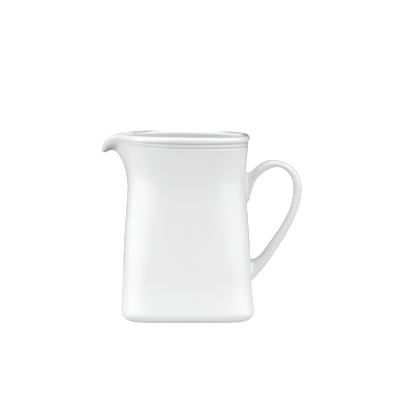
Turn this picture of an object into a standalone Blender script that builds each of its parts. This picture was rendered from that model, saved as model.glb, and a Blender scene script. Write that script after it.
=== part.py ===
"""Porcelain cream jug: a rounded-square body with a rolled rim and a hooked pouring lip,
and a loop handle joined to it by two pads of luting slip. Metres, +Z up. The lip points
to -X, the handle to +X, and the origin is under the middle of the whole jug."""

import bmesh
import bpy
import numpy as np
from math import cos, exp, pi, radians, sin

MM = 0.001

# Driving dimensions, in millimetres
AXIS_X = -7.8           # the vessel's own axis, so that lip and handle reach equally far
RIM_HEIGHT = 100.0      # crest of the rim on the handle side
RIM_RISE = 0.9          # how much the rim climbs towards the lip
RISE_ZONE = 30.0        # the climb fades out this far below the rim
WALL = 3.0              # wall thickness
FLOOR = 4.5             # height of the inside floor
FOOT_FILLET = 4.6       # rounding between wall and foot
FOOT_WIDTH = 2.4        # flat ring that the jug stands on
FOOT_RECESS = 1.3       # how far the underside is sunk inside the foot ring
FOOT_CHAMFER = 0.9      # slope between the foot ring and the sunken underside
INNER_FILLET = 8.0      # rounding between floor and inside wall
INNER_ROLL = 1.2        # height over which the rolled rim runs into the inside wall
GAP = 0.3               # clearance between pieces that touch
SLIP = 0.8              # thickness of a luting pad
SLIP_PROUD = 1.1        # size of a pad against the handle's end that it holds

# The wall: height, half-width towards the handle and the sides, half-width towards the lip
WALL_SHAPE = (
    (4.6, 36.6, 36.55),
    (16.0, 35.3, 36.2),
    (30.0, 34.65, 35.65),
    (45.0, 33.75, 35.0),
    (60.0, 32.7, 34.0),
    (75.0, 31.95, 33.2),
    (88.0, 32.7, 33.1),
    (96.5, 33.5, 33.5),
)
SQUARE_FOOT = 5.4       # superellipse exponent of the plan at the foot
SQUARE_RIM = 2.8        # and at the rim, which is nearly round

# The rolled rim and the two turned lines under it
RIM_CENTRE = (32.2, 98.1)
RIM_HALF_WIDTH = 1.95
RIM_HALF_HEIGHT = 1.9
RIM_FROM = -58          # degrees: the roll starts tucked under, out of the upper line
LINES = (94.2, 96.2)    # heights of the two turned lines
LINE_DEPTH = 0.4
LINE_WIDTH = 0.45
LINE_END = (36.0, 88.0) # degrees round from the lip where the lines begin and are full depth
TUCK_HEIGHT = 96.3      # where the lines run out, the wall swells to meet the roll at this height
TUCK_FILL = 0.6         # by this much
TUCK_WIDTH = 1.3
LINE_ROOM = 0.6         # a loop of the section runs this far above and below each line

# The lip in its plane of symmetry: distance along the wall section from the rim's crest
# (outside negative), reach from the axis, height
LIP_SHAPE = (
    (-29.5, 33.3, 72.0),
    (-22.0, 34.2, 79.0),
    (-15.0, 36.3, 85.6),
    (-10.5, 38.6, 89.4),
    (-7.5, 40.6, 91.1),
    (-5.2, 42.6, 91.3),
    (-3.4, 44.6, 90.4),
    (-1.6, 46.6, 89.9),
    (0.0, 47.6, 90.9),
    (1.8, 47.3, 93.2),
    (4.2, 44.9, 95.5),
    (7.5, 40.4, 96.2),
    (11.5, 35.8, 93.8),
    (16.5, 32.9, 88.6),
    (23.0, 31.2, 80.0),
    (30.0, 30.4, 70.5),
)
LIP_SPREAD_OUT = 10.6   # half-width of the lip's outer skin
LIP_SPREAD_IN = 5.2     # half-width of the pouring channel
LIP_SPREAD_THROAT = 13.0    # half-width of the throat, where the lip grows out of the wall
THROAT_DEPTH = 28.0     # how far below the crest the lip has that width
OUTER_TURN = 5.0        # the crest passes from channel to outer skin over this distance
INNER_TURN = 2.5
HOOK = 0.45             # share of the drop that falls close to the tip, at the crest
HOOK_REACH = 6.0        # and how far from the crest that share has faded out
DROP_POWER = 3.2        # the rest of the drop follows the reach to this power
HOOK_POWER = 18

# The handle's side view: outer edge x, z, inner edge x, z, from the axis, and its width
HANDLE_SHAPE = (
    (32.0, 78.6, 32.9, 62.2, 8.0),
    (34.9, 79.9, 34.5, 66.6, 8.4),
    (38.9, 83.4, 36.9, 73.4, 9.0),
    (43.4, 85.6, 41.0, 78.5, 9.4),
    (47.9, 86.05, 47.6, 81.75, 9.6),
    (54.4, 84.2, 52.6, 80.8, 9.6),
    (60.3, 79.1, 56.6, 76.5, 9.6),
    (62.98, 69.4, 57.95, 69.2, 9.6),
    (60.9, 59.0, 56.3, 60.0, 9.6),
    (55.9, 47.5, 51.3, 49.6, 9.8),
    (49.3, 36.7, 44.6, 39.8, 10.4),
    (42.6, 27.0, 39.2, 33.0, 11.4),
    (35.6, 18.9, 34.9, 30.6, 12.6),
)

# Fineness of the meshes
COLUMNS = 60            # points round the body
LIP_CROWDING = (0.3, 1.9)   # share of evenly spread columns, and power that crowds the rest
WALL_ROWS = 11
INNER_CROWDING = 1.4    # power that crowds the inside rows near the rim
HANDLE_SIDES = 18
HANDLE_STATIONS = 34
SHARP_ANGLE = 50        # degrees


def spline(knots, at, rows):
    """Natural cubic spline through rows given at the knots, read at other parameters."""
    knots = np.asarray(knots, float)
    rows = np.asarray(rows, float)
    step = np.diff(knots)
    count = len(knots)
    matrix = np.eye(count)
    right = np.zeros_like(rows)
    for i in range(1, count - 1):
        matrix[i, i - 1] = step[i - 1]
        matrix[i, i] = 2.0 * (step[i - 1] + step[i])
        matrix[i, i + 1] = step[i]
        rise = (rows[i + 1] - rows[i]) / step[i] - (rows[i] - rows[i - 1]) / step[i - 1]
        right[i] = 6.0 * rise
    bend = np.linalg.solve(matrix, right)
    at = np.clip(np.asarray(at, float), knots[0], knots[-1])
    span = np.clip(np.searchsorted(knots, at, side="right") - 1, 0, count - 2)
    h = step[span][:, None]
    a = (knots[span + 1] - at)[:, None] / h
    b = 1.0 - a
    curve = (a ** 3 - a) * bend[span] + (b ** 3 - b) * bend[span + 1]
    return a * rows[span] + b * rows[span + 1] + curve * h ** 2 / 6.0


def smooth_step(value):
    value = min(max(value, 0.0), 1.0)
    return value * value * (3.0 - 2.0 * value)


def arc(centre, radii, start, end, count):
    """Points on an ellipse arc, angles in degrees."""
    angles = [radians(start + (end - start) * i / (count - 1)) for i in range(count)]
    return [(centre[0] + radii[0] * cos(a), centre[1] + radii[1] * sin(a)) for a in angles]


def wall_half_widths(height):
    """Outside half-widths at a height: towards the handle, and towards the lip."""
    shape = np.array(WALL_SHAPE)
    return spline(shape[:, 0], [height], shape[:, 1:])[0]


def squareness(height):
    """Superellipse exponent of the plan at a height."""
    return SQUARE_FOOT + (SQUARE_RIM - SQUARE_FOOT) * smooth_step(height / RIM_HEIGHT)


def outer_section():
    """Outside section from the foot ring's inner corner up to the rim's crest."""
    foot = wall_half_widths(FOOT_FILLET)[0] - FOOT_FILLET
    points = [(foot - FOOT_WIDTH, 0.0)]
    points += arc((foot, FOOT_FILLET), (FOOT_FILLET, FOOT_FILLET), -90, 0, 5)
    top = LINES[0] - 4.0 * LINE_ROOM
    heights = [FOOT_FILLET + (top - FOOT_FILLET) * i / WALL_ROWS for i in range(1, WALL_ROWS + 1)]
    heights += [LINES[0] - LINE_ROOM, LINES[0], LINES[0] + LINE_ROOM]
    heights += [LINES[1] - LINE_ROOM, LINES[1]]
    points += [(wall_half_widths(height)[0], height) for height in heights]
    points += arc(RIM_CENTRE, (RIM_HALF_WIDTH, RIM_HALF_HEIGHT), RIM_FROM, 90, 8)
    return points


def inner_section():
    """Inside section from the rim's crest down to the middle of the floor."""
    points = arc(RIM_CENTRE, (RIM_HALF_WIDTH, RIM_HALF_HEIGHT), 90, 200, 6)[1:]
    top = points[-1][1] - INNER_ROLL
    low = FLOOR + INNER_FILLET
    for i in range(WALL_ROWS + 1):
        height = top + (low - top) * (i / WALL_ROWS) ** INNER_CROWDING
        points.append((wall_half_widths(height)[0] - WALL, height))
    corner = wall_half_widths(low)[0] - WALL - INNER_FILLET
    points += arc((corner, low), (INNER_FILLET, INNER_FILLET), 0, -90, 5)[1:]
    return points


def lip_reach(along):
    """Lip section at distances along the wall section: reach and height."""
    shape = np.array(LIP_SHAPE)
    return spline(shape[:, 0], along, shape[:, 1:])


def lip_spread(along):
    """Half-width of the lip at a distance along the wall section."""
    low = smooth_step(abs(along) / THROAT_DEPTH)
    outside = LIP_SPREAD_OUT + (LIP_SPREAD_THROAT - LIP_SPREAD_OUT) * low
    inside = LIP_SPREAD_IN + (LIP_SPREAD_THROAT - LIP_SPREAD_IN) * low
    if along < 0.0:
        return inside + (outside - inside) * smooth_step(0.5 - along / OUTER_TURN)
    return inside + (outside - inside) * 0.5 * (1.0 - smooth_step(along / INNER_TURN))


def column_angles():
    """Angles from the lip round to the lip again, closest together at the lip."""
    half = COLUMNS // 2
    steps = [i / half for i in range(half + 1)]
    even, power = LIP_CROWDING
    side = [pi * (even * t + (1.0 - even) * t ** power) for t in steps]
    return side + [2.0 * pi - a for a in side[-2:0:-1]]


def line_share(angle):
    """How deep the turned lines are at an angle from the lip: they run out before it."""
    start, full = (radians(end) for end in LINE_END)
    off_lip = min(angle, 2.0 * pi - angle)
    return smooth_step((off_lip - start) / (full - start))


def ring(wall_radius, height, along, angles):
    """One closed loop of the body at a point of its section."""
    plan = squareness(height)
    handle_side, lip_side = wall_half_widths(max(height, FOOT_FILLET))
    dent = 0.0
    fill = 0.0
    if along < 0.0:
        dent = LINE_DEPTH * sum(exp(-((height - line) / LINE_WIDTH) ** 2) for line in LINES)
        fill = TUCK_FILL * exp(-((height - TUCK_HEIGHT) / TUCK_WIDTH) ** 2)
    near_rim = abs(along) < abs(LIP_SHAPE[0][0])
    if near_rim:
        reach, lip_height = lip_reach([along])[0]
        spread = lip_spread(along)
        hook = HOOK * smooth_step(1.0 - abs(along) / HOOK_REACH)
    loop = []
    for angle in angles:
        c = -cos(angle)
        s = sin(angle)
        share = line_share(angle)
        radius = wall_radius - dent * share + fill * (1.0 - share)
        lip_radius = radius + (lip_side - handle_side)
        half = lip_radius if c < 0.0 else radius
        r = (abs(c / half) ** plan + abs(s / radius) ** plan) ** (-1.0 / plan)
        x, y, z = r * c, r * s, height
        z += RIM_RISE * ((1.0 - c) / 2.0) ** 2 * smooth_step(1.0 + (height - RIM_HEIGHT) / RISE_ZONE)
        if near_rim and c < 0.0:
            pull = exp(-(y / spread) ** 2)
            x -= (reach - lip_radius) * pull
            drop = (1.0 - hook) * pull ** DROP_POWER + hook * pull ** HOOK_POWER
            z += (lip_height - height - RIM_RISE) * drop
        loop.append(((x + AXIS_X) * MM, y * MM, z * MM))
    return loop


def distances(points, crest):
    """Distance along the section from its crest, negative before it."""
    length = np.hypot(*np.diff(np.array(points), axis=0).T)
    total = np.concatenate([[0.0], np.cumsum(length)])
    return total - total[crest]


def mesh_object(name, rings, start, end, material):
    """Closed skin over a row of loops, with a point closing each end."""
    mesh = bpy.data.meshes.new(name)
    work = bmesh.new()
    loops = [[work.verts.new(p) for p in loop] for loop in rings]
    first = work.verts.new(start)
    last = work.verts.new(end)
    count = len(rings[0])
    for i in range(count):
        j = (i + 1) % count
        work.faces.new((first, loops[0][j], loops[0][i]))
        work.faces.new((last, loops[-1][i], loops[-1][j]))
        for low, high in zip(loops, loops[1:]):
            work.faces.new((low[i], low[j], high[j], high[i]))
    bmesh.ops.recalc_face_normals(work, faces=work.faces[:])
    work.to_mesh(mesh)
    work.free()
    mesh.materials.append(material)
    mesh.shade_smooth()
    mesh.set_sharp_from_angle(angle=radians(SHARP_ANGLE))
    piece = bpy.data.objects.new(name, mesh)
    bpy.context.scene.collection.objects.link(piece)
    return piece


def porcelain(name, colour, roughness):
    material = bpy.data.materials.new(name)
    material.use_nodes = True
    shader = material.node_tree.nodes["Principled BSDF"]
    shader.inputs["Base Color"].default_value = (*colour, 1.0)
    shader.inputs["Roughness"].default_value = roughness
    shader.inputs["Metallic"].default_value = 0.0
    return material


def make_body(material):
    outside = outer_section()
    section = outside + inner_section()
    along = distances(section, len(outside) - 1)
    angles = column_angles()
    foot_inner = section[0][0]
    floor_edge = section[-1][0]
    recess = (foot_inner - FOOT_CHAMFER, FOOT_RECESS)
    rings = [ring(recess[0] * 0.5, FOOT_RECESS, along[0], angles), ring(*recess, along[0], angles)]
    rings += [ring(r, z, s, angles) for (r, z), s in zip(section, along)]
    rings.append(ring(floor_edge * 0.5, FLOOR, along[-1], angles))
    under = (AXIS_X * MM, 0.0, FOOT_RECESS * MM)
    over = (AXIS_X * MM, 0.0, FLOOR * MM)
    return mesh_object("body", rings, under, over, material)


def wall_x(y, z):
    """Outside of the wall on the handle side."""
    half = wall_half_widths(z)[0]
    plan = squareness(z)
    return half * (1.0 - abs(y / half) ** plan) ** (1.0 / plan)


def handle_rings():
    """Loops of the handle, from the upper root to the lower root, in millimetres."""
    shape = np.array(HANDLE_SHAPE)
    middle = (shape[:, 0:2] + shape[:, 2:4]) / 2.0
    chord = np.hypot(*np.diff(middle, axis=0).T)
    knots = np.concatenate([[0.0], np.cumsum(chord)])
    rows = spline(knots, np.linspace(0.0, knots[-1], HANDLE_STATIONS), shape)
    rings = []
    for outer_x, outer_z, inner_x, inner_z, width in rows:
        loop = []
        for i in range(HANDLE_SIDES):
            a = 2.0 * pi * i / HANDLE_SIDES
            across = (1.0 + cos(a)) / 2.0
            x = inner_x + (outer_x - inner_x) * across
            z = inner_z + (outer_z - inner_z) * across
            loop.append((x, width / 2.0 * sin(a), z))
        rings.append(loop)
    return rings


def on_wall(loop, clearance):
    """The loop laid on the wall, at a clearance from it."""
    return [(wall_x(y, z) + clearance, y, z) for _, y, z in loop]


def middle_of(loop):
    return tuple(sum(p[axis] for p in loop) / len(loop) for axis in range(3))


def resized(loop, scale):
    """The loop scaled about its middle, across the wall only."""
    _, y0, z0 = middle_of(loop)
    return [(x, y0 + (y - y0) * scale, z0 + (z - z0) * scale) for x, y, z in loop]


def in_metres(loop):
    return [((x + AXIS_X) * MM, y * MM, z * MM) for x, y, z in loop]


def capped(name, rings, clearances, material):
    """A loft whose two ends lie on the wall at the given clearances."""
    ends = []
    caps = []
    for loop, clearance in ((rings[0], clearances[0]), (rings[-1], clearances[1])):
        caps.append(on_wall(resized(loop, 0.5), clearance))
        _, y, z = middle_of(loop)
        ends.append((wall_x(y, z) + clearance, y, z))
    loops = [caps[0]] + rings + [caps[1]]
    start, end = in_metres(ends)
    return mesh_object(name, [in_metres(loop) for loop in loops], start, end, material)


def make_handle_and_slips(handle_material, slip_material):
    rings = handle_rings()
    clear = GAP + SLIP + GAP
    upper, lower = rings[0], rings[-1]
    rings = [loop for loop in rings[1:-1] if min(x - wall_x(y, z) for x, y, z in loop) > clear]
    rings = [on_wall(upper, clear)] + rings + [on_wall(lower, clear)]
    capped("handle", rings, (clear, clear), handle_material)
    for name, foot in (("upper_handle_slip", upper), ("lower_handle_slip", lower)):
        wide = resized(foot, SLIP_PROUD)
        pad = [on_wall(wide, GAP), on_wall(wide, GAP + SLIP / 2.0), on_wall(foot, GAP + SLIP)]
        capped(name, pad, (GAP, GAP + SLIP), slip_material)


def main():
    for old in list(bpy.data.objects):
        bpy.data.objects.remove(old, do_unlink=True)
    glaze = porcelain("glazed_porcelain", (0.86, 0.86, 0.85), 0.08)
    handle_glaze = porcelain("glazed_handle", (0.86, 0.86, 0.85), 0.08)
    slip = porcelain("glazed_slip", (0.82, 0.82, 0.81), 0.12)
    make_body(glaze)
    make_handle_and_slips(handle_glaze, slip)


main()
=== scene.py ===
"""Porcelain cream jug: the glazed vessel, its unglazed foot ring, the strap handle and the two
fillets of luting slip that hold it. Lengths are in millimetres until a mesh is made."""
from math import cos, pi, radians, sin

import bpy
import numpy as np
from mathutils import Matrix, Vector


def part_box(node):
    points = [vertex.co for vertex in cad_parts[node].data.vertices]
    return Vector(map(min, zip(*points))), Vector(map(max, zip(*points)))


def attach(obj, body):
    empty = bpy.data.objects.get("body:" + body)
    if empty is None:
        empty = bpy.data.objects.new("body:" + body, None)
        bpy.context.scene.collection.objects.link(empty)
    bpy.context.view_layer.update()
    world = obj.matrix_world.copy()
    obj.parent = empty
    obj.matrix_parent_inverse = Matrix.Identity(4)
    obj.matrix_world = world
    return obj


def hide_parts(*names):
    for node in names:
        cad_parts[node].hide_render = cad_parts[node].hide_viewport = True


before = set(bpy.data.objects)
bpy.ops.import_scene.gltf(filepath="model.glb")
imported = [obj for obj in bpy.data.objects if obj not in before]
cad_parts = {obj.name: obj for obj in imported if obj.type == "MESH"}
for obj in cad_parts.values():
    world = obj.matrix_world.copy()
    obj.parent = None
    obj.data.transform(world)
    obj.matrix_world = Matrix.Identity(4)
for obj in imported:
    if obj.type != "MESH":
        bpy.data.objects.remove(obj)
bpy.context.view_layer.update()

MM = 0.001
BODY_LOW, BODY_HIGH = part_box("body")

# ---------------------------------------------------------------- driving dimensions

FOOT_HALF = 36.6        # half-width of the foot, handle side
AXIS_X = BODY_HIGH[0] / MM - FOOT_HALF
RIM_HEIGHT = 100.0
RIM_RISE = 0.9          # the rim climbs this much towards the lip
RISE_ZONE = 30.0        # over this height
WALL = 3.0
FLOOR = 4.5             # height of the inside's floor
FOOT_FILLET = 4.6       # radius from the wall to the flat that the jug stands on
FOOT_WIDTH = 2.4
FOOT_RECESS = 1.3
FOOT_CHAMFER = 0.9
INNER_FILLET = 8.0      # radius from the inner wall to the floor
INNER_ROLL = 1.2        # the inner wall starts this far below the roll's end

# The wall: height, half-width towards the handle and the sides, half-width towards the lip
WALL_SHAPE = (
    (4.6, 36.6, 36.55),
    (16.0, 35.3, 36.2),
    (30.0, 34.65, 35.65),
    (45.0, 33.75, 35.0),
    (60.0, 32.7, 34.0),
    (75.0, 31.95, 33.2),
    (88.0, 32.7, 33.1),
    (96.5, 33.5, 33.5),
)
SQUARE_FOOT = 5.4       # superellipse exponent of the plan at the foot
SQUARE_RIM = 2.8        # and at the rim

RIM_CENTRE = (32.2, 98.1)
RIM_HALF_WIDTH = 1.95
RIM_HALF_HEIGHT = 1.9
RIM_FROM = -58.0        # degrees: the roll starts tucked under, out of the upper line
RIM_TO = 200.0          # degrees: and ends inside
LINES = (94.2, 96.2)    # heights of the two turned lines
LINE_DEPTH = 0.4
LINE_WIDTH = 0.45
LINE_ROOM = 3.0         # the fine loops start this many line widths below the lower line
LINE_END = (36.0, 88.0) # degrees round from the lip where the lines begin and are at full depth
TUCK_HEIGHT = 96.3      # where the lines run out, the wall swells to meet the roll at this height
TUCK_FILL = 0.6         # by this much
TUCK_WIDTH = 1.3

# The lip in its plane of symmetry: distance along the wall section from the rim's crest
# (outside negative), reach from the axis, height
LIP_SHAPE = (
    (-29.5, 33.3, 72.0),
    (-22.0, 34.2, 79.0),
    (-15.0, 36.3, 85.6),
    (-10.5, 38.6, 89.4),
    (-7.5, 40.6, 91.1),
    (-5.2, 42.6, 91.3),
    (-3.4, 44.6, 90.4),
    (-1.6, 46.6, 89.9),
    (0.0, 47.6, 90.9),
    (1.8, 47.3, 93.2),
    (4.2, 44.9, 95.5),
    (7.5, 40.4, 96.2),
    (11.5, 35.8, 93.8),
    (16.5, 32.9, 88.6),
    (23.0, 31.2, 80.0),
    (30.0, 30.4, 70.5),
)
LIP_SPREAD_OUT = 10.6   # half-width of the lip outside, just under its crest
LIP_SPREAD_IN = 5.2     # and of the channel inside
LIP_SPREAD_THROAT = 13.0
THROAT_DEPTH = 28.0
OUTER_TURN = 5.0        # the width changes from one to the other over these distances
INNER_TURN = 2.5
HOOK = 0.45             # share of the tip's drop that only its middle has
HOOK_REACH = 6.0
DROP_POWER = 3.2        # the drop is narrower than the lip: a higher power of the same curve
HOOK_POWER = 18         # and this one in its middle

# The handle's side view: outer edge x, z, inner edge x, z, from the axis, and its width
HANDLE_SHAPE = (
    (32.0, 78.6, 32.9, 62.2, 8.0),
    (34.9, 79.9, 34.5, 66.6, 8.4),
    (38.9, 83.4, 36.9, 73.4, 9.0),
    (43.4, 85.6, 41.0, 78.5, 9.4),
    (47.9, 86.05, 47.6, 81.75, 9.6),
    (54.4, 84.2, 52.6, 80.8, 9.6),
    (60.3, 79.1, 56.6, 76.5, 9.6),
    (62.98, 69.4, 57.95, 69.2, 9.6),
    (60.9, 59.0, 56.3, 60.0, 9.6),
    (55.9, 47.5, 51.3, 49.6, 9.8),
    (49.3, 36.7, 44.6, 39.8, 10.4),
    (42.6, 27.0, 39.2, 33.0, 11.4),
    (35.6, 18.9, 34.9, 30.6, 12.6),
)
SUNK = 0.6              # the handle's ends run this far into the wall
GLAZE_STEP = 0.15       # the glaze stops this far above the bare foot

# The slip fillets at a root: how far they climb the handle and spread on the wall, at the top,
# the sides and the bottom of the root
UPPER_CLIMB = (3.0, 3.2, 1.6)
UPPER_SPREAD = (0.9, 1.5, 0.9)
LOWER_CLIMB = (2.2, 3.0, 0.8)
LOWER_SPREAD = (1.2, 1.5, 0.4)
FILLET_STEPS = 12
EDGE_DIP = 0.06         # a fillet's edges dip this far under what they meet
TAIL_BEAD = (32.9, 64.7)        # middle of the bead of slip that ends the upper root's tail
TAIL_BEAD_SIZE = (1.55, 2.6, 1.75)

# Painted shade: the glaze is darkened under the lip's tip, in the turned lines and in the corners
# inside the rim
TIP_PAINTED_SHADE = (-10.5, -5.5, 17.0)  # from and to along the section, and degrees round from the lip
TIP_EDGE = 1.5                  # the painted shade fades again this close to the crest,
TIP_EDGE_TURN = 5.0             # and as much further down for every so many degrees round the lip
LINE_PAINTED_SHADE = 0.32                # share of that painted shade in the turned lines
CORNER_PAINTED_SHADE = (0.7, 16.0)       # full this far down and gone at three times that; degrees round
CORNER_SHARE = 0.9

COLUMNS = 240                   # points round the body, closest together at the lip
LIP_CROWDING = (0.3, 1.9)
FLAT_LOOPS = 9                  # loops across the recess and across the floor
INNERMOST = 0.1                 # share of the edge's radius that the smallest of them has
FOOT_LOOPS = 28
WALL_LOOPS = 70
LINED_STEPS = (0.15, 0.12)      # first and later distances between loops in the turned lines
LINED_PAST = 0.05
RIM_LOOPS = 30
INNER_RIM_LOOPS = 24
INNER_CROWDING = 1.3            # the inner wall's loops are closer together at the top
CORNER_LOOPS = 20
HANDLE_SIDES = 48
HANDLE_STATIONS = 150
ROOT_STATIONS = 60              # of them, those that a root's fillet can lie on
BEAD_LOOPS = 26

# ---------------------------------------------------------------- curves and sections

def spline(knots, at, rows):
    """Natural cubic spline through rows given at the knots, read at other parameters."""
    knots = np.asarray(knots, float)
    rows = np.asarray(rows, float)
    step = np.diff(knots)
    count = len(knots)
    matrix = np.eye(count)
    right = np.zeros_like(rows)
    for i in range(1, count - 1):
        matrix[i, i - 1] = step[i - 1]
        matrix[i, i] = 2.0 * (step[i - 1] + step[i])
        matrix[i, i + 1] = step[i]
        rise = (rows[i + 1] - rows[i]) / step[i] - (rows[i] - rows[i - 1]) / step[i - 1]
        right[i] = 6.0 * rise
    bend = np.linalg.solve(matrix, right)
    at = np.clip(np.asarray(at, float), knots[0], knots[-1])
    span = np.clip(np.searchsorted(knots, at, side="right") - 1, 0, count - 2)
    h = step[span][:, None]
    a = (knots[span + 1] - at)[:, None] / h
    b = 1.0 - a
    curve = (a ** 3 - a) * bend[span] + (b ** 3 - b) * bend[span + 1]
    return a * rows[span] + b * rows[span + 1] + curve * h ** 2 / 6.0


def smooth_step(value):
    """Eased from 0 to 1 as a value goes from 0 to 1."""
    value = min(max(value, 0.0), 1.0)
    return value * value * (3.0 - 2.0 * value)


def arc(centre, radii, start, end, count):
    """Points on an ellipse arc, angles in degrees."""
    angles = np.radians(np.linspace(start, end, count))
    return [(centre[0] + radii[0] * cos(a), centre[1] + radii[1] * sin(a)) for a in angles]


def wall_half_widths(height):
    """Outside half-widths at a height: towards the handle, and towards the lip."""
    shape = np.array(WALL_SHAPE)
    return spline(shape[:, 0], [height], shape[:, 1:])[0]


def squareness(height):
    """Superellipse exponent of the plan at a height."""
    return SQUARE_FOOT + (SQUARE_RIM - SQUARE_FOOT) * smooth_step(height / RIM_HEIGHT)


def line_dent(height):
    """How deep the turned lines cut at a height, 1 at the bottom of a line."""
    return sum(np.exp(-((height - line) / LINE_WIDTH) ** 2) for line in LINES)


def foot_radius():
    """Outer edge of the flat that the jug stands on."""
    return wall_half_widths(FOOT_FILLET)[0] - FOOT_FILLET


def outer_section():
    """Outside section from the glaze's edge inside the foot ring up to the rim's crest."""
    foot = foot_radius()
    points = [(foot - FOOT_WIDTH - FOOT_CHAMFER / 2.0, FOOT_RECESS / 2.0)]
    points += [(foot - FOOT_WIDTH + GLAZE_STEP, GLAZE_STEP), (foot - FOOT_WIDTH / 2.0, GLAZE_STEP)]
    fillet = arc((foot, FOOT_FILLET), (FOOT_FILLET, FOOT_FILLET), -90, 0, FOOT_LOOPS)
    points += [point for point in fillet if point[1] > GLAZE_STEP]
    plain = np.linspace(FOOT_FILLET, LINES[0] - LINE_ROOM * LINE_WIDTH, WALL_LOOPS)[1:]
    first, later = LINED_STEPS
    lined = np.arange(plain[-1] + first, LINES[1] + LINED_PAST, later)
    for height in np.concatenate([plain, lined]):
        points.append((wall_half_widths(height)[0], height))
    points += arc(RIM_CENTRE, (RIM_HALF_WIDTH, RIM_HALF_HEIGHT), RIM_FROM, 90, RIM_LOOPS)
    return points


def inner_section():
    """Inside section from the rim's crest down to the edge of the flat floor."""
    points = arc(RIM_CENTRE, (RIM_HALF_WIDTH, RIM_HALF_HEIGHT), 90, RIM_TO, INNER_RIM_LOOPS)[1:]
    top = points[-1][1] - INNER_ROLL
    low = FLOOR + INNER_FILLET
    for height in top + (low - top) * np.linspace(0.0, 1.0, WALL_LOOPS) ** INNER_CROWDING:
        points.append((wall_half_widths(height)[0] - WALL, height))
    corner = wall_half_widths(low)[0] - WALL - INNER_FILLET
    points += arc((corner, low), (INNER_FILLET, INNER_FILLET), 0, -90, CORNER_LOOPS)[1:]
    return points


def distances(points, crest):
    """Distance along the section from its crest, negative before it."""
    length = np.hypot(*np.diff(np.array(points), axis=0).T)
    total = np.concatenate([[0.0], np.cumsum(length)])
    return total - total[crest]


def lip_spread(along):
    """Half-width of the lip at a distance along the section."""
    low = smooth_step(abs(along) / THROAT_DEPTH)
    outside = LIP_SPREAD_OUT + (LIP_SPREAD_THROAT - LIP_SPREAD_OUT) * low
    inside = LIP_SPREAD_IN + (LIP_SPREAD_THROAT - LIP_SPREAD_IN) * low
    if along < 0.0:
        return inside + (outside - inside) * smooth_step(0.5 - along / OUTER_TURN)
    return inside + (outside - inside) * 0.5 * (1.0 - smooth_step(along / INNER_TURN))


def column_angles():
    """Angles from the lip round to the lip again, closest together at the lip."""
    steps = np.linspace(0.0, 1.0, COLUMNS // 2 + 1)
    even, power = LIP_CROWDING
    side = pi * (even * steps + (1.0 - even) * steps ** power)
    return np.concatenate([side, 2.0 * pi - side[-2:0:-1]])


def line_share(angles):
    """How deep the turned lines are round the jug: they run out before the lip."""
    low, high = (radians(turn) for turn in LINE_END)
    off_lip = np.minimum(angles, 2.0 * pi - angles)
    return np.array([smooth_step((turn - low) / (high - low)) for turn in off_lip])


def ring(radius, height, along, angles):
    """One closed loop of the body at a point of its section."""
    plan = squareness(height)
    handle_side, lip_side = wall_half_widths(max(height, FOOT_FILLET))
    if along < 0.0:
        share = line_share(angles)
        fill = TUCK_FILL * np.exp(-((height - TUCK_HEIGHT) / TUCK_WIDTH) ** 2)
        radius = radius - LINE_DEPTH * line_dent(height) * share + fill * (1.0 - share)
    lip_radius = radius + (lip_side - handle_side)
    c = -np.cos(angles)
    s = np.sin(angles)
    half = np.where(c < 0.0, lip_radius, radius)
    r = (np.abs(c / half) ** plan + np.abs(s / radius) ** plan) ** (-1.0 / plan)
    x, y, z = r * c, r * s, np.full_like(c, height)
    z += RIM_RISE * ((1.0 - c) / 2.0) ** 2 * smooth_step(1.0 + (height - RIM_HEIGHT) / RISE_ZONE)
    if abs(along) < abs(LIP_SHAPE[0][0]):
        shape = np.array(LIP_SHAPE)
        reach, lip_height = spline(shape[:, 0], [along], shape[:, 1:])[0]
        hook = HOOK * smooth_step(1.0 - abs(along) / HOOK_REACH)
        pull = np.where(c < 0.0, np.exp(-(y / lip_spread(along)) ** 2), 0.0)
        drop = (1.0 - hook) * pull ** DROP_POWER + hook * pull ** HOOK_POWER
        x = x - (reach - lip_radius) * pull
        z += (lip_height - height - RIM_RISE) * drop
    return np.column_stack([x + AXIS_X, y, z])


# ---------------------------------------------------------------- meshes

def mesh_piece(name, rings, close=None, painted_shade=None):
    """A skin over a row of loops. close is (start point, end point), or "torus" for a closed row."""
    rings = np.asarray(rings)
    rows, count = rings.shape[:2]
    verts = [tuple(p * MM) for loop in rings for p in loop]
    faces = []
    last_row = rows if close == "torus" else rows - 1
    for k in range(last_row):
        low, high = k * count, ((k + 1) % rows) * count
        for i in range(count):
            j = (i + 1) % count
            faces.append((low + i, low + j, high + j, high + i))
    if close != "torus":
        verts += [tuple(np.asarray(p) * MM) for p in close]
        first, last = len(verts) - 2, len(verts) - 1
        top = (rows - 1) * count
        for i in range(count):
            j = (i + 1) % count
            faces.append((first, j, i))
            faces.append((last, top + i, top + j))
    mesh = bpy.data.meshes.new(name)
    mesh.from_pydata(verts, [], faces)
    # Painted shade per point, kept as a mesh attribute that the glaze reads to darken its colour
    if painted_shade is not None:
        values = np.zeros(len(verts))
        values[:rows * count] = np.asarray(painted_shade).ravel()
        mesh.attributes.new("painted_shade", "FLOAT", "POINT").data.foreach_set("value", values)
    mesh.update()
    mesh.shade_smooth()
    piece = bpy.data.objects.new(name, mesh)
    bpy.context.scene.collection.objects.link(piece)
    return piece


def under_tip(along, angles):
    """How much painted shade a point under the lip's tip has, from 0 to 1."""
    out, full, turn = TIP_PAINTED_SHADE
    off_lip = np.minimum(angles, 2.0 * pi - angles)
    edges = TIP_EDGE * (1.0 + off_lip / radians(TIP_EDGE_TURN))
    under = np.array([smooth_step(-along / edge - 0.5) for edge in edges])
    beside = np.array([1.0 - smooth_step(a / radians(turn)) for a in off_lip])
    return smooth_step((along - out) / (full - out)) * under * beside


def in_corners(along, angles):
    """How much painted shade a point in the corners inside the rim has, from 0 to 1."""
    full, turn = CORNER_PAINTED_SHADE
    depth = smooth_step(along / full) * smooth_step(3.0 - along / full)
    off_corner = np.abs(np.abs(np.cos(angles)) - np.abs(np.sin(angles)))
    return depth * np.exp(-(off_corner / np.sin(radians(turn))) ** 2)


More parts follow.
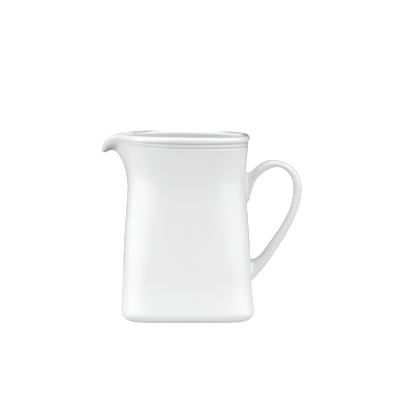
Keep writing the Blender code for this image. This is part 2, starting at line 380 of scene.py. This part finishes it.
def painted_shade_at(height, along, angles):
    """How much painted shade a point of the section has, from 0 to 1: in the turned lines, under the
    lip's tip and in the corners inside the rim.
    """
    if along > 0.0:
        return CORNER_SHARE * in_corners(along, angles)
    lines = LINE_PAINTED_SHADE * min(line_dent(height), 1.0) * line_share(angles)
    return np.maximum(lines, under_tip(along, angles))


def make_body():
    """The vessel from the middle of its recess, up the outside and down to the inside's middle."""
    outside = outer_section()
    section = outside + inner_section()
    along = distances(section, len(outside) - 1)
    angles = column_angles()
    recess = section[0][0] - FOOT_CHAMFER / 2.0
    floor_edge = section[-1][0]
    flat = np.linspace(INNERMOST, 1.0, FLAT_LOOPS)
    rows = [(recess * share, FOOT_RECESS, along[0]) for share in flat]
    rows += [(r, z, s) for (r, z), s in zip(section, along)]
    flat = np.linspace(1.0, INNERMOST, FLAT_LOOPS + 1)[1:]
    rows += [(floor_edge * share, FLOOR, along[-1]) for share in flat]
    rings = [ring(*row, angles) for row in rows]
    # painted shade per point: under the lip's tip, in the turned lines and in the corners inside the
    # rim
    painted_shade = [painted_shade_at(height, s, angles) for _, height, s in rows]
    ends = (AXIS_X, 0.0, FOOT_RECESS), (AXIS_X, 0.0, FLOOR)
    return mesh_piece("glazed_vessel", rings, ends, painted_shade)


def make_foot():
    """The bare clay ring that the jug stands on."""
    foot = foot_radius()
    inner = foot - FOOT_WIDTH
    height = 3.0 * GLAZE_STEP
    outside = foot + (FOOT_FILLET ** 2 - (FOOT_FILLET - GLAZE_STEP) ** 2) ** 0.5
    section = [(inner - GLAZE_STEP, height), (inner, GLAZE_STEP), (inner + GLAZE_STEP, 0.0)]
    section += [(foot - 3.0 * GLAZE_STEP, 0.0), (foot, GLAZE_STEP / 6.0)]
    section += [(outside - GLAZE_STEP, GLAZE_STEP), (foot, height)]
    angles = column_angles()
    rings = [ring(r, z, LIP_SHAPE[0][0], angles) for r, z in section]
    return mesh_piece("foot_ring", rings, "torus")


def wall_x(y, z):
    """Outside of the wall on the handle side, from the axis."""
    half = wall_half_widths(z)[0]
    plan = squareness(z)
    return half * (1.0 - abs(y / half) ** plan) ** (1.0 / plan)


def handle_rings():
    """Loops of the handle from the upper root to the lower root, from the axis."""
    shape = np.array(HANDLE_SHAPE)
    middle = (shape[:, 0:2] + shape[:, 2:4]) / 2.0
    chord = np.hypot(*np.diff(middle, axis=0).T)
    knots = np.concatenate([[0.0], np.cumsum(chord)])
    rows = spline(knots, np.linspace(0.0, knots[-1], HANDLE_STATIONS), shape)
    turn = np.linspace(0.0, 2.0 * pi, HANDLE_SIDES, endpoint=False)
    across = (1.0 + np.cos(turn)) / 2.0
    rings = []
    for outer_x, outer_z, inner_x, inner_z, width in rows:
        x = inner_x + (outer_x - inner_x) * across
        z = inner_z + (outer_z - inner_z) * across
        rings.append(np.column_stack([x, width / 2.0 * np.sin(turn), z]))
    return rings


def on_wall(loop, clearance):
    """A loop of the handle pressed on to the wall, this far outside it."""
    return np.array([(wall_x(y, z) + clearance, y, z) for _, y, z in loop])


def make_handle(rings):
    """The strap from its upper end in the wall to its lower end in the wall."""
    upper, lower = on_wall(rings[0], -SUNK), on_wall(rings[-1], -SUNK)
    loops = np.array([upper] + rings[1:-1] + [lower]) + (AXIS_X, 0.0, 0.0)
    return mesh_piece("strap_handle", loops, (loops[0].mean(0), loops[-1].mean(0)))


def root_outline(rings):
    """Where the handle's skin leaves the wall, and how far along each line of the skin that is."""
    lines = np.transpose(np.array(rings), (1, 0, 2))
    spots, marks = [], []
    for line in lines:
        clear = np.array([x - wall_x(y, z) for x, y, z in line])
        k = max(int(np.argmax(clear > 0.0)), 1)
        share = np.clip(-clear[k - 1] / (clear[k] - clear[k - 1]), 0.0, 1.0)
        spots.append(line[k - 1] + (line[k] - line[k - 1]) * share)
        length = np.linalg.norm(np.diff(line, axis=0), axis=1)
        total = np.concatenate([[0.0], np.cumsum(length)])
        marks.append((total, total[k - 1] + share * length[k - 1]))
    return lines, np.array(spots), marks


def by_facing(up, values):
    """A value for the top, sides and bottom of a root, blended by which way its edge faces."""
    top, side, bottom = values
    end = top if up > 0.0 else bottom
    return side + (end - side) * smooth_step(abs(up))


def make_fillet(name, rings, climb, spread):
    """The concave bead of slip round a root of the handle."""
    lines, spots, marks = root_outline(rings)
    centre = spots.mean(0)
    loops = []
    for i, spot in enumerate(spots):
        run = spots[(i + 1) % len(spots)] - spots[i - 1]
        out = np.array([run[2], -run[1]])
        out /= np.hypot(*out)
        if out @ (spot[1:] - centre[1:]) < 0.0:
            out = -out
        total, start = marks[i]
        at = start + by_facing(out[1], climb)
        high = np.array([np.interp(at, total, lines[i][:, k]) for k in range(3)])
        y, z = spot[1:] + out * by_facing(out[1], spread)
        low = np.array([wall_x(y, z) - EDGE_DIP, y, z])
        inward = np.array([0.0, *-out])
        high = high + inward * EDGE_DIP
        steps = np.linspace(0.0, 1.0, FILLET_STEPS)[:, None]
        curve = (1.0 - steps) ** 2 * high + 2.0 * steps * (1.0 - steps) * spot + steps ** 2 * low
        back = spot + inward * SUNK - (SUNK, 0.0, 0.0)
        loops.append(np.vstack([curve, [back]]))
    return mesh_piece(name, np.array(loops) + (AXIS_X, 0.0, 0.0), "torus")


def make_tail_bead():
    """The rounded bead of slip at the lower end of the upper root."""
    rings = []
    turn = np.linspace(0.0, 2.0 * pi, HANDLE_SIDES, endpoint=False)
    across, wide, tall = TAIL_BEAD_SIZE
    middle_x, middle_z = TAIL_BEAD[0] + AXIS_X, TAIL_BEAD[1]
    for climb in np.linspace(-pi / 2.0, pi / 2.0, BEAD_LOOPS)[1:-1]:
        x = middle_x + across * cos(climb) * np.cos(turn)
        y = wide * cos(climb) * np.sin(turn)
        z = np.full_like(x, middle_z + tall * sin(climb))
        rings.append(np.column_stack([x, y, z]))
    foot = (middle_x, 0.0, middle_z - tall)
    crown = (middle_x, 0.0, middle_z + tall)
    return mesh_piece("upper_slip_bead", rings, (foot, crown))


# ---------------------------------------------------------------- materials

GLAZE_TINT = (0.80, 0.80, 0.80)
CLOUD_TINT = (0.788, 0.792, 0.796)  # in the glaze's faint clouds
CLOUD_SPAN = (0.35, 0.7)            # noise values between which one tint gives way to the other
PAINTED_SHADE_SHARE = 0.46                 # share of the tint kept where the painted shade is full
GLAZE_ROUGHNESS = (0.09, 0.15)
GLAZE_IOR = 1.52
CLAY_TINTS = (0.60, 0.585, 0.56), (0.70, 0.69, 0.67)
CLAY_SPAN = (0.3, 0.7)
CLAY_ROUGHNESS = 0.85

# Noise on the surface: cycles per metre, and detail
CLOUDS = (38.0, 3.0)
PATCHES = (120.0, 2.0)              # of more and less gloss
WAVES = (70.0, 1.0)                 # the glaze's long low waves
PEEL = (900.0, 2.0)                 # its orange peel
GRAIN = (1400.0, 3.0)               # of the bare clay

# Relief: strength, and depth in metres
WAVES_RELIEF = (0.25, 0.0004)
PEEL_RELIEF = (0.12, 0.00003)
GRAIN_RELIEF = (0.4, 0.00005)


def noise(tree, scale, detail):
    """A noise value that stays on the object."""
    place = tree.nodes.new("ShaderNodeTexCoord")
    texture = tree.nodes.new("ShaderNodeTexNoise")
    texture.inputs["Scale"].default_value = scale
    texture.inputs["Detail"].default_value = detail
    tree.links.new(place.outputs["Object"], texture.inputs["Vector"])
    return texture.outputs["Fac"]


def blend(tree, value, span, low, high):
    """A colour that goes from low to high as a value crosses a span."""
    ramp = tree.nodes.new("ShaderNodeValToRGB")
    for element, position, tint in zip(ramp.color_ramp.elements, span, (low, high)):
        element.position = position
        element.color = (*tint, 1.0)
    tree.links.new(value, ramp.inputs["Fac"])
    return ramp.outputs["Color"]


def bumped(tree, height, relief, normal=None):
    """A normal roughened by a height, over another one where there is one."""
    bump = tree.nodes.new("ShaderNodeBump")
    bump.inputs["Strength"].default_value, bump.inputs["Distance"].default_value = relief
    tree.links.new(height, bump.inputs["Height"])
    if normal is not None:
        tree.links.new(normal, bump.inputs["Normal"])
    return bump.outputs["Normal"]


def glaze_material(name):
    """Clear gloss glaze on white porcelain, darkened by painted shade under the lip's tip, in the
    turned lines and in the corners inside the rim.
    """
    material = bpy.data.materials.new(name)
    material.use_nodes = True
    tree = material.node_tree
    nodes, links = tree.nodes, tree.links
    shader = nodes["Principled BSDF"]
    colour = blend(tree, noise(tree, *CLOUDS), CLOUD_SPAN, CLOUD_TINT, GLAZE_TINT)
    # painted shade: the colour is darkened towards a share of the tint where the mesh's shade
    # attribute is full
    painted_shade = nodes.new("ShaderNodeAttribute")
    painted_shade.attribute_name = "painted_shade"
    painted_shade_mix = nodes.new("ShaderNodeMix")
    painted_shade_mix.data_type = "RGBA"
    painted_shade_mix.inputs["B"].default_value = (*(PAINTED_SHADE_SHARE * part for part in GLAZE_TINT), 1.0)
    links.new(painted_shade.outputs["Fac"], painted_shade_mix.inputs["Factor"])
    links.new(colour, painted_shade_mix.inputs["A"])
    links.new(painted_shade_mix.outputs["Result"], shader.inputs["Base Color"])
    gloss = nodes.new("ShaderNodeMapRange")
    gloss.inputs["To Min"].default_value, gloss.inputs["To Max"].default_value = GLAZE_ROUGHNESS
    links.new(noise(tree, *PATCHES), gloss.inputs["Value"])
    links.new(gloss.outputs["Result"], shader.inputs["Roughness"])
    waves = bumped(tree, noise(tree, *WAVES), WAVES_RELIEF)
    links.new(bumped(tree, noise(tree, *PEEL), PEEL_RELIEF, waves), shader.inputs["Normal"])
    shader.inputs["IOR"].default_value = GLAZE_IOR
    return material


def clay_material():
    """Bare fired clay: matt, a little warmer than the glaze, finely speckled."""
    material = bpy.data.materials.new("bare_clay")
    material.use_nodes = True
    tree = material.node_tree
    shader = tree.nodes["Principled BSDF"]
    grain = noise(tree, *GRAIN)
    tree.links.new(blend(tree, grain, CLAY_SPAN, *CLAY_TINTS), shader.inputs["Base Color"])
    tree.links.new(bumped(tree, grain, GRAIN_RELIEF), shader.inputs["Normal"])
    shader.inputs["Roughness"].default_value = CLAY_ROUGHNESS
    return material


# ---------------------------------------------------------------- the jug

vessel = make_body()
vessel.data.materials.append(glaze_material("body_glaze"))
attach(vessel, "root")
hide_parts("body")

foot_ring = make_foot()
foot_ring.data.materials.append(clay_material())
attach(foot_ring, "root")

skin = handle_rings()
handle = make_handle(skin)
handle.data.materials.append(glaze_material("handle_glaze"))
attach(handle, "root")
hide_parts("handle")

upper_fillet = make_fillet("upper_slip_fillet", skin[:ROOT_STATIONS], UPPER_CLIMB, UPPER_SPREAD)
upper_fillet.data.materials.append(glaze_material("upper_slip_glaze"))
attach(upper_fillet, "root")
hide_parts("upper_handle_slip")

tail_bead = make_tail_bead()
tail_bead.data.materials.append(upper_fillet.data.materials[0])
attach(tail_bead, "root")

lower_fillet = make_fillet("lower_slip_fillet", skin[:-ROOT_STATIONS:-1], LOWER_CLIMB, LOWER_SPREAD)
lower_fillet.data.materials.append(glaze_material("lower_slip_glaze"))
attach(lower_fillet, "root")
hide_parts("lower_handle_slip")

# ---------------------------------------------------------------- floor, light and camera

CAMERA_DISTANCE = 1.3       # level distance from the jug's middle to the lens
CAMERA_HEIGHT = 0.18134
CAMERA_X = -0.00117
CAMERA_PITCH = 5.1685       # degrees below level
CAMERA_LENS = 212.96
CAMERA_SENSOR = 36.0
CAMERA_REACH = 100.0

FLOOR_HALF = 30.0
FLOOR_TINT = 0.8            # to the eye
FLOOR_ROUGHNESS = 0.9
FLOOR_ALBEDO = 0.35         # how much of the light on it the floor throws back at the jug
FLOOR_BOUNCE = 0.34         # and its own glow, which fades between these distances from the jug
FLOOR_FADE = (0.40, 0.05)
FLOOR_SELF_LIT = 0.5        # glow that keeps the paper white to the eye

WHITE = (1.0, 1.0, 1.0, 1.0)

# The studio's light by direction. Its side walls are big softboxes that reach from the
# horizon to well overhead and fade out towards the front, the back and the zenith.
DIM_GLOW = 0.04             # everywhere
WALLS_GLOW = 2.22
WALLS_SIDEWAYS = (0.05, 0.80)   # from nothing to full over this share of a level direction's x
WALLS_TO_BACK = (0.80, -0.1)    # and over this share of its y
WALLS_AT_HORIZON = 0.75         # what is left of them at the horizon
WALLS_CLIMB = (0.0, 0.5)        # and over how much climb they reach their full glow
ZENITH = (1.0, 0.85)            # the walls give way to the ceiling over this climb
CEILING_GLOW = 1.3
LEFT_GLOW = 0.60            # the left side has this much more, low down
LEFT_FROM = (-0.2, -0.8)
LEFT_CLIMB = (0.5, 0.0)
FRONT_GLOW = 0.5            # and so has the front, lower still
FRONT_FROM = (-0.2, -0.9)
FRONT_CLIMB = (0.35, 0.0)


def level(tree, value, low, high):
    """Eased share of the way a value has gone from low to high."""
    share = tree.nodes.new("ShaderNodeMapRange")
    share.interpolation_type = "SMOOTHSTEP"
    share.inputs["From Min"].default_value = low
    share.inputs["From Max"].default_value = high
    tree.links.new(value, share.inputs["Value"])
    return share.outputs["Result"]


def combine(tree, operation, first, second):
    """A Math node on two values or numbers."""
    node = tree.nodes.new("ShaderNodeMath")
    node.operation = operation
    for socket, value in zip(node.inputs, (first, second)):
        if isinstance(value, float):
            socket.default_value = value
        else:
            tree.links.new(value, socket)
    return node.outputs["Value"]


def multiply(tree, *factors):
    """The product of values and numbers."""
    product = factors[0]
    for factor in factors[1:]:
        product = combine(tree, "MULTIPLY", product, factor)
    return product


def make_world():
    """A pale studio with a big softbox on either side of the jug and a smaller one above."""
    world = bpy.data.worlds.new("studio")
    bpy.context.scene.world = world
    world.use_nodes = True
    tree = world.node_tree
    nodes, links = tree.nodes, tree.links
    place = nodes.new("ShaderNodeTexCoord")
    split = nodes.new("ShaderNodeSeparateXYZ")
    links.new(place.outputs["Generated"], split.inputs["Vector"])
    level_part = nodes.new("ShaderNodeVectorMath")
    level_part.operation = "MULTIPLY"
    level_part.inputs[1].default_value = (1.0, 1.0, 0.0)
    links.new(place.outputs["Generated"], level_part.inputs[0])
    heading = nodes.new("ShaderNodeVectorMath")
    heading.operation = "NORMALIZE"
    links.new(level_part.outputs["Vector"], heading.inputs[0])
    compass = nodes.new("ShaderNodeSeparateXYZ")
    links.new(heading.outputs["Vector"], compass.inputs["Vector"])
    climb = split.outputs["Z"]
    sideways = combine(tree, "ABSOLUTE", compass.outputs["X"], 0.0)
    rise = multiply(tree, level(tree, climb, *WALLS_CLIMB), 1.0 - WALLS_AT_HORIZON)
    walls = multiply(
        tree,
        level(tree, sideways, *WALLS_SIDEWAYS),
        WALLS_GLOW,
        level(tree, compass.outputs["Y"], *WALLS_TO_BACK),
        combine(tree, "ADD", rise, WALLS_AT_HORIZON),
        level(tree, climb, *ZENITH),
    )
    low_left = level(tree, climb, *LEFT_CLIMB)
    left = multiply(tree, level(tree, split.outputs["X"], *LEFT_FROM), LEFT_GLOW, low_left)
    low_front = level(tree, climb, *FRONT_CLIMB)
    front = multiply(tree, level(tree, split.outputs["Y"], *FRONT_FROM), FRONT_GLOW, low_front)
    ceiling = multiply(tree, level(tree, climb, *reversed(ZENITH)), CEILING_GLOW)
    glow = DIM_GLOW
    for part in (walls, left, front, ceiling):
        glow = combine(tree, "ADD", part, glow)
    light = nodes["Background"]
    light.inputs["Color"].default_value = WHITE
    links.new(glow, light.inputs["Strength"])
    seen = nodes.new("ShaderNodeBackground")
    seen.inputs["Color"].default_value = WHITE
    path = nodes.new("ShaderNodeLightPath")
    mix = nodes.new("ShaderNodeMixShader")
    links.new(path.outputs["Is Camera Ray"], mix.inputs["Fac"])
    links.new(light.outputs["Background"], mix.inputs[1])
    links.new(seen.outputs["Background"], mix.inputs[2])
    links.new(mix.outputs["Shader"], nodes["World Output"].inputs["Surface"])


def paper_material():
    """White paper to the eye, softly self-lit so that it stays even; it throws little light back."""
    material = bpy.data.materials.new("floor_paper")
    material.use_nodes = True
    tree = material.node_tree
    nodes, links = tree.nodes, tree.links
    thrown = nodes.new("ShaderNodeBsdfPrincipled")
    thrown.inputs["Base Color"].default_value = (*[FLOOR_ALBEDO] * 3, 1.0)
    thrown.inputs["Roughness"].default_value = 1.0
    thrown.inputs["Emission Color"].default_value = WHITE
    place = nodes.new("ShaderNodeTexCoord")
    distance = nodes.new("ShaderNodeVectorMath")
    distance.operation = "LENGTH"
    links.new(place.outputs["Object"], distance.inputs[0])
    glow = multiply(tree, level(tree, distance.outputs["Value"], *FLOOR_FADE), FLOOR_BOUNCE)
    links.new(glow, thrown.inputs["Emission Strength"])
    paper = nodes["Principled BSDF"]
    paper.inputs["Base Color"].default_value = (*[FLOOR_TINT] * 3, 1.0)
    paper.inputs["Roughness"].default_value = FLOOR_ROUGHNESS
    paper.inputs["Emission Color"].default_value = WHITE
    paper.inputs["Emission Strength"].default_value = FLOOR_SELF_LIT
    path = nodes.new("ShaderNodeLightPath")
    mix = nodes.new("ShaderNodeMixShader")
    links.new(path.outputs["Is Camera Ray"], mix.inputs["Fac"])
    links.new(thrown.outputs["BSDF"], mix.inputs[1])
    links.new(paper.outputs["BSDF"], mix.inputs[2])
    links.new(mix.outputs["Shader"], nodes["Material Output"].inputs["Surface"])
    return material


def make_floor():
    """A wide sheet of pale paper under the jug."""
    mesh = bpy.data.meshes.new("floor")
    corners = [(x * FLOOR_HALF, y * FLOOR_HALF, 0.0) for x, y in ((-1, -1), (1, -1), (1, 1), (-1, 1))]
    mesh.from_pydata(corners, [], [(0, 1, 2, 3)])
    floor = bpy.data.objects.new("floor", mesh)
    bpy.context.scene.collection.objects.link(floor)
    mesh.materials.append(paper_material())


def make_camera():
    """A long lens, a little above the rim and tilted down at the jug."""
    data = bpy.data.cameras.new("camera")
    data.sensor_width = CAMERA_SENSOR
    data.lens = CAMERA_LENS
    data.clip_end = CAMERA_REACH
    camera = bpy.data.objects.new("camera", data)
    camera.location = (CAMERA_X, -CAMERA_DISTANCE, CAMERA_HEIGHT)
    camera.rotation_euler = (radians(90.0 - CAMERA_PITCH), 0.0, 0.0)
    bpy.context.scene.collection.objects.link(camera)
    bpy.context.scene.camera = camera


make_floor()
make_world()
make_camera()
bpy.context.scene.view_settings.view_transform = "Standard"
